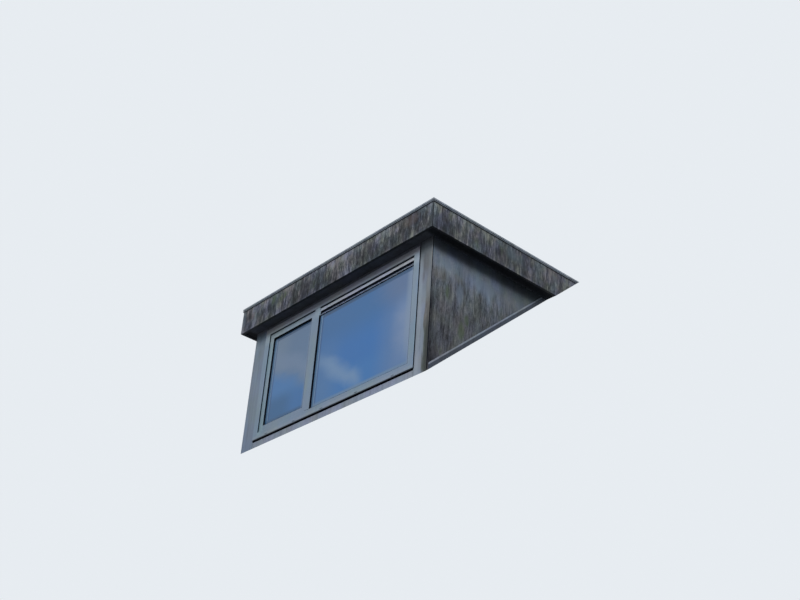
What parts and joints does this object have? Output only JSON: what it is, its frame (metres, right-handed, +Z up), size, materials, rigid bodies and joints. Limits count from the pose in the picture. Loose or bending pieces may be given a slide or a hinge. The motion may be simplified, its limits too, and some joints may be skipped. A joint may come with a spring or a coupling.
{
  "type": "dormer window",
  "caption": "Flat-roofed timber dormer window with an opening sash, a wide fixed light under a ventilation strip, clad cheeks, deep fascias and a base cut to the roof's slope.",
  "frame": {"origin": "middle of the sloped underside of the front base rail, on the plane in which the dormer lies on the roof", "axes": "+X to the right seen from the street, +Y into the roof, +Z up"},
  "size_m": [2.742, 1.8197, 1.525],
  "materials": {
    "timber": "planed softwood, untreated",
    "plywood": "plywood sheet",
    "insulation": "rigid foam board",
    "lining": "matt white paint",
    "membrane": "mineral bitumen sheet",
    "soffit": "matt board, soiled",
    "fascia": "weathered matt board with dark streaks and algae",
    "edge_trim": "mill finish, dulled",
    "cladding": "satin board, lightly soiled",
    "cheek": "weathered matt panel with dirt runs and algae",
    "flashing": "mill finish, dulled",
    "frame_paint": "satin off-white paint",
    "pane": "sealed double glazing",
    "vent_metal": "satin anodised",
    "handle_metal": "satin",
    "seal": "black glazing rubber and sealant",
    "spacer": "edge spacer of the sealed panes, seen through the glass",
    "fixing": "zinc-plated screws and hinges, dulled"
  },
  "bodies": {
    "root": {"base_rail_front": "timber", "base_rail_left": "timber", "base_rail_right": "timber", "base_rail_rear": "timber", "corner_post_left": "timber", "corner_post_right": "timber", "window_header": "timber", "cheek_core_left": "insulation", "cheek_core_right": "insulation", "cheek_panel_left": "cheek", "cheek_panel_right": "cheek", "cheek_lining_left": "lining", "cheek_lining_right": "lining", "cheek_flashings": "flashing", "ceiling_board": "lining", "roof_joists": "timber", "roof_deck": "plywood", "roof_insulation": "insulation", "roof_membrane": "membrane", "soffit_front": "soffit", "soffit_left": "soffit", "soffit_right": "soffit", "fascia_front": "fascia", "fascia_left": "fascia", "fascia_right": "fascia", "roof_trim_front": "edge_trim", "roof_trim_left": "edge_trim", "roof_trim_right": "edge_trim", "corner_board_left": "cladding", "corner_board_right": "cladding", "head_board": "cladding", "apron_board": "cladding", "frame_head": "frame_paint", "frame_sill": "frame_paint", "frame_jamb_left": "frame_paint", "frame_jamb_right": "frame_paint", "frame_mullion": "frame_paint", "sash_rail_top": "frame_paint", "sash_rail_bottom": "frame_paint", "sash_stile_left": "frame_paint", "sash_stile_right": "frame_paint", "sash_pane": "pane", "fixed_pane": "pane", "ventilation_strip": "vent_metal", "sash_handle": "handle_metal"}
  },
  "joints": []
}
